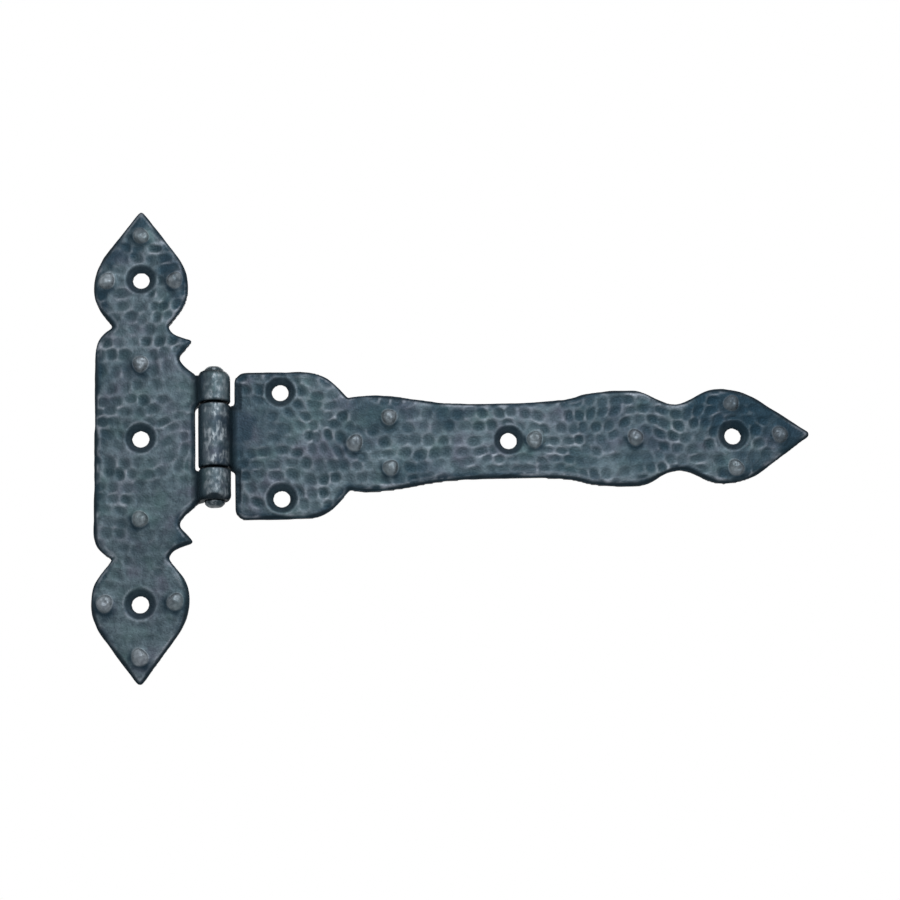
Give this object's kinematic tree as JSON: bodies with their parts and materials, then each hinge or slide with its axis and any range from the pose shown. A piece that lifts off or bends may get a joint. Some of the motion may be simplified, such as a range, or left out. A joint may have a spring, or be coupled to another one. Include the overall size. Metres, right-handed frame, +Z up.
{
  "type": "tee strap hinge",
  "caption": "T-shaped strap hinge of hammered blackened steel: a tall screw plate with spear points, rolled knuckles on a loose pin and a long waisted strap.",
  "frame": {"origin": "centre of the frame leaf's middle screw hole, on the back face that lies on the wood", "axes": "+X along the strap away from the frame leaf, +Z up along the pin, -Y out of the front"},
  "size_m": [0.2508, 0.0112, 0.1684],
  "materials": {
    "leaf_steel": "hammered mild steel, blue-black, half-gloss",
    "pin_steel": "blackened steel rod, peened ends"
  },
  "bodies": {
    "frame": {"frame_leaf": "leaf_steel", "hinge_pin": "pin_steel"},
    "strap": {"strap_leaf": "leaf_steel"}
  },
  "joints": [
    {"name": "pin_hinge", "type": "hinge", "parent": "frame", "child": "strap", "pos_m": [0.02555, -0.00558, 0], "axis": [0, 0, -1], "range_deg": [-90, 180]}
  ]
}
